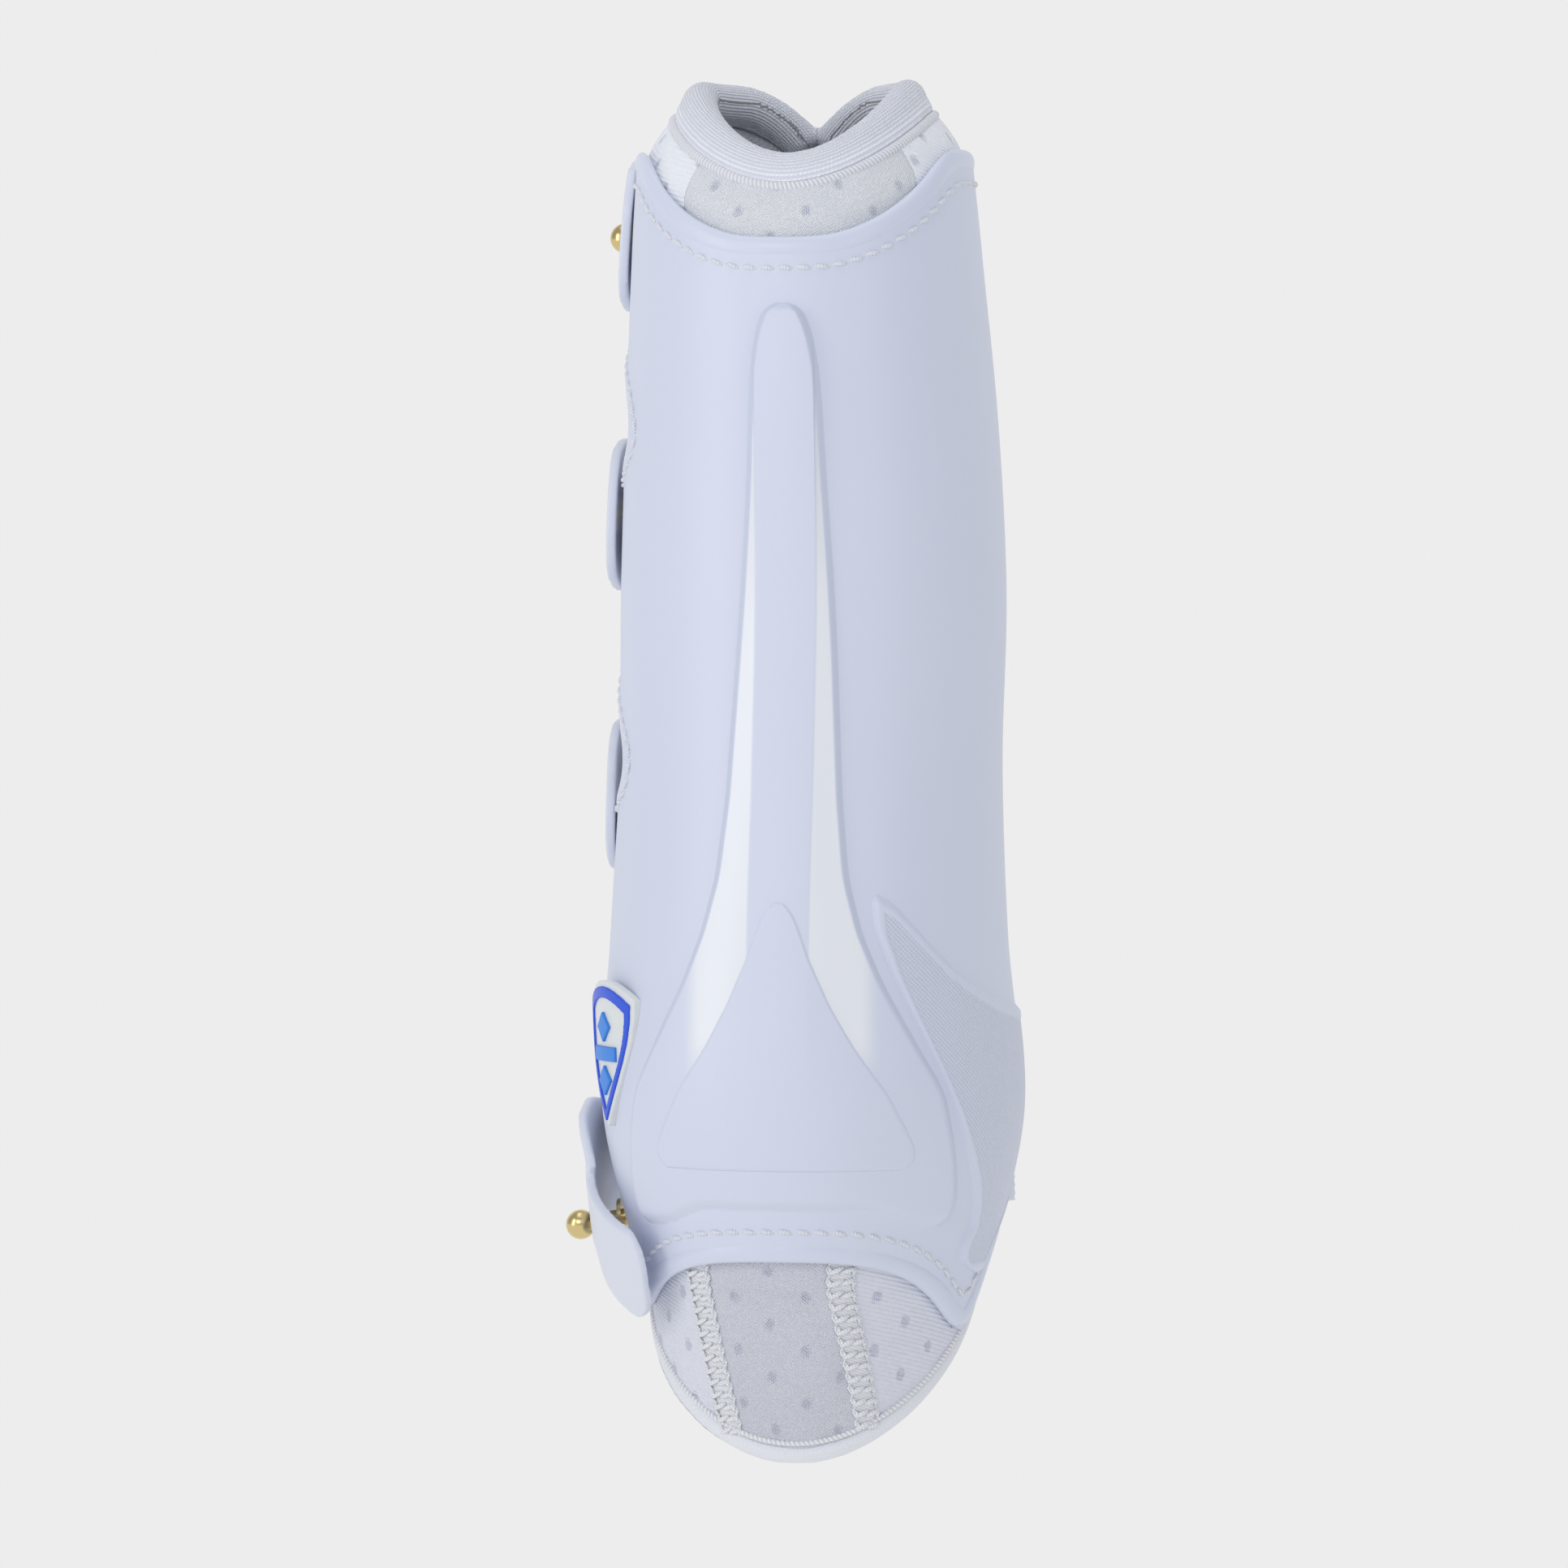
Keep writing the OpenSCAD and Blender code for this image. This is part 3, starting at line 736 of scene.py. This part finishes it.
straight_knit = knit_finish("liner_knit")
slanted_knit = knit_finish("liner_rib_knit", diagonal=True)
liner_panel("liner_back", lambda z: seam_left(z) - 1, lambda z: seam_right(z) + 1, 60, 300,
            ("liner_back_panel", "impact_foam"), straight_knit)
liner_panel("liner_medial", seam_right, lambda z: np.full_like(z, FRONT_ANGLE), 120, 240,
            ("liner_medial_panel",), slanted_knit)
liner_panel("liner_lateral", lambda z: np.full_like(z, -FRONT_ANGLE), seam_left, 120, 240,
            ("liner_lateral_panel",), slanted_knit)

# ---------------------------------------------------------------- liner seams
# The panels meet edge to edge under a wide cover stitch: soft looped threads that cross
# the join, with a row of small loops along each side.
COVER_PITCH, COVER_HALF, COVER_TOP, MM_A_DEGREE = 2.8, 3.0, 50, 0.68


def cover_seam(name, where, node):
    pieces = []
    foot = float(liner_bottom(where(5.0))) + 3
    turn = COVER_HALF / MM_A_DEGREE
    for z in np.arange(foot + 1, COVER_TOP, COVER_PITCH):
        psi = float(where(z))
        lift = LINER_OUT + 0.35 - float(liner_lean(psi, z))
        for k, (a, b, rise, thick) in enumerate(((-1, 0.15, 1.0, 0.62), (1, -0.15, -0.7, 0.62),
                                                 (-1, -0.7, -1.2, 0.4), (1, 0.7, 1.2, 0.4))):
            t = np.linspace(0, 1, 7)
            wobble = random.uniform(-0.12, 0.12)
            path = on_form(psi + turn * (a + (b - a) * t), z + rise * (t - 0.5) * 1.5 + wobble,
                           lift + 0.45 * np.sin(t * math.pi) - 0.1 * k)
            pieces.append(tube("cover_thread", path,
                               thick * (0.55 + 0.45 * np.sin(t * math.pi)), 7))
    for side in (-1, 1):
        z = np.linspace(foot, COVER_TOP, 120)
        beat = 2 * math.pi * z / COVER_PITCH
        path = on_form(where(z) + side * (turn + 0.45 * np.sin(beat)), z,
                       LINER_OUT + 0.15 - liner_lean(where(z), z) + 0.2 * np.cos(beat))
        pieces.append(tube("edge_thread", path, 0.33, 6))

    def ground(u, v):
        z = foot + (COVER_TOP - foot) * v
        return on_form(where(z) + (2 * u - 1) * turn, z,
                       LINER_OUT - 0.1 + 0.45 * sin(180 * u) - liner_lean(where(z), z))

    pieces.append(laid("seam_ground", 8, 80, ground, 0.5))
    seam = joined(name, pieces)
    fit(seam, seam_thread, "boot", node, slot="thread")


seam_thread = thread_finish("seam_thread", (0.90, 0.92, 0.96, 1))
cover_seam("cover_stitch_lateral", seam_left, "liner_seam_lateral")
cover_seam("cover_stitch_medial", seam_right, "liner_seam_medial")

# ---------------------------------------------------------------- collar
# A soft foam roll in rib knit is sewn along the liner's top edge and turns inwards. Its
# ends meet in a V in front. A fine piping covers the seam under it.
COLLAR_R, COLLAR_LIFT, COLLAR_IN, KNIT_ROWS = 4.6, 3.8, 6.2, 34
SWELL_PRESSURE, SWELL_CAP, SWELL_VOXEL, QUICK_VOXEL = 4, 0.5, 1.2, 0.9


def collar_path(count, lift, sink):
    psi = np.linspace(-FRONT_ANGLE, FRONT_ANGLE, count)
    z = liner_top(psi)
    return on_form(psi, z + lift, LINER_OUT - sink - liner_lean(psi, z))


def swell(piece, pressure, cap, voxel):
    """Swells a soft piece a little in a short cloth simulation. No point moves past the cap."""
    apply(piece, "REMESH", mode="VOXEL", voxel_size=voxel * MM)
    start = np.empty(len(piece.data.vertices) * 3)
    piece.data.vertices.foreach_get("co", start)
    cloth = piece.modifiers.new("swell", "CLOTH")
    cloth.settings.use_pressure = True
    cloth.settings.uniform_pressure_force = pressure
    cloth.settings.effector_weights.gravity = 0
    for step in range(1, 21):
        bpy.context.scene.frame_set(step)
    bpy.context.view_layer.objects.active = piece
    bpy.ops.object.modifier_apply(modifier=cloth.name)
    bpy.context.scene.frame_set(1)
    end = np.empty_like(start)
    piece.data.vertices.foreach_get("co", end)
    move = (end - start).reshape(-1, 3)
    far = np.linalg.norm(move, axis=1)[:, None]
    move *= np.minimum(1, cap * MM / np.maximum(far, 1e-9))
    piece.data.vertices.foreach_set("co", (start.reshape(-1, 3) + move).ravel())
    apply(piece, "SUBSURF", levels=1, render_levels=1)


def knit_rows(piece, middle, rows, depth):
    """Raises rows of rib knit along a roll and gives it a UV map: along it, and round it."""
    mesh = piece.data
    spot = spots_of(piece)
    near = np.empty(len(spot), int)
    for first in range(0, len(spot), 4000):
        part = spot[first:first + 4000]
        near[first:first + 4000] = ((part[:, None] - middle[None]) ** 2).sum(2).argmin(1)
    along = np.gradient(middle, axis=0)
    along /= np.linalg.norm(along, axis=1)[:, None]
    out = middle * (1, 1, 0)
    out -= (out * along).sum(1)[:, None] * along
    out /= np.linalg.norm(out, axis=1)[:, None]
    up = np.cross(along, out)
    off = spot - middle[near]
    turn = np.arctan2((off * up[near]).sum(1), (off * out[near]).sum(1))
    run = run_of(middle)[near]
    run += (off * along[near]).sum(1)
    push = depth * np.sin(turn * rows)
    off /= np.linalg.norm(off, axis=1)[:, None] + 1e-9
    mesh.vertices.foreach_set("co", ((spot + off * push[:, None]) * MM).ravel())
    for name, value in (("round", turn), ("along", run)):
        layer = mesh.attributes.new(name, "FLOAT", "POINT")
        layer.data.foreach_set("value", value.astype(np.float32))
    mesh.update()


def roll_finish(name):
    made = Finish(name, Roughness=0.8, Sheen_Weight=0.4, Sheen_Roughness=0.45)
    turn = made.attribute("round")
    run = made.attribute("along")
    row = ((turn * KNIT_ROWS).sine() + 1) * 0.5
    cell = ((run * 7.5 + turn * KNIT_ROWS * 0.5).sine() + 1) * 0.5
    weave = row * 0.65 + cell * row * 0.5
    # Painted shade: the knit is darker in the grooves between its raised rows.
    tone = made.mix(weave, (0.68, 0.72, 0.85, 1), (0.96, 0.97, 1.0, 1))
    made.set(Base_Color=tone)
    made.bump(weave, 0.00028)
    return made


middle = collar_path(360, COLLAR_LIFT, COLLAR_IN)
ends = np.linspace(-1, 1, 360)
taper = COLLAR_R * (1 - 0.5 * np.clip((np.abs(ends) - 0.985) / 0.015, 0, 1) ** 2)
collar = joined("collar_roll_knit", [
    tube("roll", middle, taper - 0.25, 24),
    tube("foot", collar_path(360, 1.2, 3.0), taper * 0.56, 16),
    tube("heel", collar_path(360, 2.2, 4.4), taper * 0.7, 16)])
swell(collar, SWELL_PRESSURE, SWELL_CAP, SWELL_VOXEL)
knit_rows(collar, middle, KNIT_ROWS, 0.06)
bpy.ops.object.shade_smooth()
fit(collar, roll_finish("collar_knit"), "boot", "collar_roll", slot="liner_fabric")


def cord_finish(name, colour, pitch):
    """Twisted or knitted cord, from the UV map of a tube."""
    made = Finish(name, Roughness=0.7, Sheen_Weight=0.4, Sheen_Roughness=0.45)
    u, v = made.flat_place()
    twist = ((v * (2 * math.pi / pitch) + u * 1.6).sine() + 1) * 0.5
    # Painted shade: the cord is darker in the grooves of its twist.
    made.set(Base_Color=made.mix(twist, darker(colour, 0.74), colour))
    made.bump(twist, 0.0002)
    return made


knit_white = (0.88, 0.90, 0.96, 1)
piping = tube("collar_piping_cord", collar_path(400, -0.3, 0.3), 1.25, 12)
fit(piping, cord_finish("piping_knit", knit_white, 1.0), "boot", "collar_piping",
    slot="knit_binding")

# ---------------------------------------------------------------- bindings
# Folded stretch tape binds the liner's lower edge and its two front edges. Along the
# bottom its upper edge carries a bright twisted thread.
BIND_R = 2.2


def bound_path(count, lift, sink):
    psi = np.linspace(-FRONT_ANGLE, FRONT_ANGLE, count)
    z = liner_bottom(psi) + lift
    return on_form(psi, z, LINER_OUT - sink - liner_lean(psi, z))


def tape_finish(name):
    made = Finish(name, Roughness=0.62, Sheen_Weight=0.35, Sheen_Roughness=0.4)
    u, v = made.flat_place()
    fine = ((v * 9.0).sine() * (u * 9.0).sine() + 1) * 0.5
    # Painted shade: the tape is darker in the hollows of its fine weave.
    made.set(Base_Color=made.mix(fine, (0.74, 0.76, 0.82, 1), (0.85, 0.87, 0.92, 1)))
    made.bump(fine * 0.6 + made.noise(260, 3) * 0.6, 0.00012)
    return made


tape = tape_finish("binding_tape")
binding = tube("bottom_binding_tape", bound_path(300, BIND_R, 1.7), BIND_R + 0.3, 18)
fit(binding, tape, "boot", "bottom_binding", slot="knit_binding")
ridge = tube("binding_ridge_thread", bound_path(420, 2 * BIND_R + 0.2, -0.15), 0.6, 10)
fit(ridge, cord_finish("ridge_thread", (0.92, 0.93, 0.97, 1), 1.1), "boot", slot="knit_binding")
for side, part in ((-1, "lateral"), (1, "medial")):
    psi = side * FRONT_ANGLE
    z = np.linspace(float(liner_bottom(psi)) + 4, float(liner_top(psi)), 200)
    edge = on_form(np.full_like(z, psi), z, LINER_OUT - 2 - liner_lean(psi, z))
    piece = tube("front_binding_tape_" + part, edge, 2.1, 16)
    fit(piece, tape, "boot", "front_binding_" + part, slot="knit_binding")

# ---------------------------------------------------------------- ball studs and rivets
# Brass ball studs are riveted through the shell over steel washers, and domed steel
# rivets hold the strap anchors. They are turned parts, shown as drawn.


def metal(name, colour, rough):
    made = Finish(name, Metallic=1.0)
    worn = made.noise(240, 3)
    made.set(Base_Color=made.mix(worn, colour, darker(colour, 0.9)),
             Roughness=rough + (worn - 0.5) * 0.1)
    return made


brass = metal("brass", (0.78, 0.62, 0.30, 1), 0.24)
steel = metal("steel", (0.62, 0.63, 0.65, 1), 0.3)
for node, finish in [("ball_stud_%d" % k, brass) for k in (1, 2, 3, 4)] + [
        ("stud_backing_washers", steel), ("anchor_rivets", steel)]:
    kept = frame["nodes"][node]
    for place in kept.material_slots:
        place.material = finish.material

# ---------------------------------------------------------------- strap anchors and tabs
# Anchors and closing tabs are moulded in the shell's plastic, with rounded edges. Each
# tab buttonholes over a ball stud, and the lowest is a paddle with a lip along its top.
TAB_VOXEL, BAR_EASE, LOOP_EASE, LOOP_DRAW = 0.45, -0.15, 0.2, 0.25


def from_node(name, node, voxel, rounds):
    """A moulded piece taken from its CAD node, with its edges rounded over."""
    unselect()
    source = frame["nodes"][node]
    copy = bpy.data.objects.new(name, source.data.copy())
    copy.data.name = name
    bpy.context.scene.collection.objects.link(copy)
    copy.matrix_world = source.matrix_world
    copy.select_set(True)
    bpy.context.view_layer.objects.active = copy
    bpy.ops.object.transform_apply(location=True, rotation=True, scale=True)
    bpy.ops.object.mode_set(mode="EDIT")
    bpy.ops.mesh.select_all(action="SELECT")
    bpy.ops.mesh.remove_doubles(threshold=1e-6)
    bpy.ops.object.mode_set(mode="OBJECT")
    apply(copy, "REMESH", mode="VOXEL", voxel_size=voxel * MM)
    apply(copy, "SMOOTH", factor=0.5, iterations=rounds)
    bpy.ops.object.shade_smooth()
    return copy


def hug(piece, from_angle=-142, spread=24, most=2.6):
    """Springs a tab's free end in against the tapering shell."""
    spots = spots_of(piece)
    psi = np.degrees(np.arctan2(spots[:, 0], -spots[:, 1]))
    free = ease((psi - from_angle) / spread)
    z = spots[:, 2]
    gap = np.clip(station(HALF_WIDTH, z.min() + 2) - station(HALF_WIDTH, z) + 0.5, 0, most)
    reach = np.linalg.norm(spots[:, :2], axis=1)
    spots[:, :2] *= (1 - gap * free / reach)[:, None]
    move_to(piece, spots)


def ease_bar(piece, joint, grow, draw_in):
    """Gives a bar or a loop back the running clearance that rounding its edges took.

    grow is negative for a bar and positive for the loop that turns on it, and draw_in
    shortens a loop's ends away from the cheeks, all in millimetres.
    """
    hinge = next(j for j in frame["joints"] if j["name"] == joint)
    pin, axis = np.array(hinge["pos_m"]) / MM, np.array(hinge["axis"])
    spots = spots_of(piece)
    along = (spots - pin) @ axis
    away = spots - pin - along[:, None] * axis
    radius = np.maximum(np.linalg.norm(away, axis=1), 1e-3)
    near = ease((2.1 - radius) / 0.6) * np.minimum(radius / 1.2, 1)
    spots += away * (grow * near / radius)[:, None]
    ends = ease((np.abs(along) - 8) / 6) * ease((3.4 - radius) / 0.8)
    spots -= axis * (draw_in * ends * np.sign(along))[:, None]
    move_to(piece, spots)


LOW_STRAP_Z, LOW_TILT, LOW_TURN, LOW_SWING = 62, 15, 12, -10
LOW_BAR = (-0.4 - 52.55 * math.sin(math.radians(122)), 52.75 * math.cos(math.radians(58)), 0)


def shape_low_tab(piece):
    """Rounds the lowest tab's outline into a paddle with a flared lip along its top."""
    turn = (Matrix.Rotation(math.radians(LOW_SWING), 4, "Y")
            @ Matrix.Rotation(math.radians(LOW_TURN), 4, "X"))
    out = (Matrix.Translation((0, 0, LOW_STRAP_Z)) @ Matrix.Rotation(math.radians(LOW_TILT), 4, "X")
           @ Matrix.Translation(LOW_BAR) @ turn @ Matrix.Translation([-c for c in LOW_BAR]))
    back = np.array(out.inverted())
    ahead_to = np.array(out)
    spots = spots_of(piece)
    spots = np.column_stack([spots, np.ones(len(spots))]) @ back.T
    psi = np.degrees(np.arctan2(spots[:, 0], -spots[:, 1]))
    h = spots[:, 2].copy()
    hump = ease((psi + 116) / 16) * ease((-74 - psi) / 20)
    top, foot = h > 13.5, (h < -9.5) & (psi > -118)
    spots[top, 2] = 13.5 + (h[top] - 13.5) * (0.12 + 0.88 * hump[top])
    spots[foot, 2] = -9.5 + (h[foot] + 9.5) * ease((-104 - psi[foot]) / 14)
    flare = 1.8 * hump * np.clip((h - 15) / 9, 0, 1) ** 2 - 0.15 * np.clip(h, 0, 24)
    reach = np.linalg.norm(spots[:, :2], axis=1)
    spots[:, :2] *= (1 + flare / reach)[:, None]
    spots[:, 3] = 1
    move_to(piece, (spots @ ahead_to.T)[:, :3])
    apply(piece, "REMESH", mode="VOXEL", voxel_size=TAB_VOXEL * MM)
    apply(piece, "SMOOTH", factor=0.5, iterations=6)
    bpy.ops.object.shade_smooth()


tab_plastic = plastic("tab_plastic", colour=(0.72, 0.755, 0.86, 1), rough=0.38, grain=0.00002)
for k in (1, 2, 3, 4):
    anchor = from_node("strap_anchor_moulding_%d" % k, "strap_anchor_%d" % k, 0.5, 4)
    ease_bar(anchor, "strap_%d_swing" % k, BAR_EASE, 0)
    fit(anchor, tab_plastic, "boot", "strap_anchor_%d" % k, slot="tab_plastic")
    closing = from_node("closing_tab_%d" % k, "strap_tab_%d" % k, TAB_VOXEL, 5)
    if k < 4:
        hug(closing)
    else:
        shape_low_tab(closing)
    ease_bar(closing, "tab_%d_peel" % k, BAR_EASE, 0)
    fit(closing, tab_plastic, "tab_%d" % k, "strap_tab_%d" % k, slot="tab_plastic")

# ---------------------------------------------------------------- elastic straps
# Woven elastic webbing runs from each anchor round the front of the leg to its closing
# tab, and is sewn back on itself round a bar at both ends.
def webbing_finish(name):
    made = Finish(name, Roughness=0.75, Sheen_Weight=0.3)
    u, v = made.flat_place()
    rib_row = ((v * 4.4).sine() + 1) * 0.5
    pick = ((u * 7.0 + v * 1.1).sine() + 1) * 0.5
    weave = rib_row * 0.7 + pick * 0.3
    # Painted shade: the webbing is darker in the grooves between its ribs.
    made.set(Base_Color=made.mix(weave, (0.62, 0.65, 0.72, 1), (0.86, 0.88, 0.92, 1)))
    made.bump(weave, 0.00025)
    return made


webbing = webbing_finish("elastic_webbing")
for k in (1, 2, 3, 4):
    strap = from_node("elastic_webbing_%d" % k, "strap_elastic_%d" % k, TAB_VOXEL, 3)
    ease_bar(strap, "strap_%d_swing" % k, LOOP_EASE, LOOP_DRAW)
    ease_bar(strap, "tab_%d_peel" % k, LOOP_EASE, LOOP_DRAW)
    mesh = strap.data
    layer = mesh.uv_layers.new(name="UVMap") if not mesh.uv_layers else mesh.uv_layers.active
    spots = spots_of(strap)
    flat = np.stack([np.degrees(np.arctan2(spots[:, 0], spots[:, 1])) * 0.75, spots[:, 2]
                     - (spots[:, 1] * math.tan(math.radians(LOW_TILT)) if k == 4 else 0)], -1)
    lay_uv(mesh, layer, flat)
    fit(strap, webbing, "strap_%d" % k, "strap_elastic_%d" % k, slot="elastic_webbing")

# ---------------------------------------------------------------- badge
# A clear rubber shield is welded to the shell. Its border and its plain geometric
# motif are raised in coloured rubber.
badge_clear = Finish("badge_clear", Base_Color=(0.86, 0.90, 0.91, 1), Roughness=0.25,
                     Transmission_Weight=0.15, IOR=1.45)
badge_blue = Finish("badge_blue", Base_Color=(0.022, 0.095, 0.72, 1), Roughness=0.35)
badge_motif = Finish("badge_motif", Base_Color=(0.035, 0.24, 0.78, 1), Roughness=0.4)
for node, finish, slot, voxel in (("badge_base", badge_clear, "badge_clear", 0.35),
                                  ("badge_border", badge_blue, "badge_blue", 0.2),
                                  ("badge_emblem", badge_motif, "badge_motif", 0.2)):
    piece = from_node(node + "_rubber", node, voxel, 2)
    fit(piece, finish, "boot", node, slot=slot)
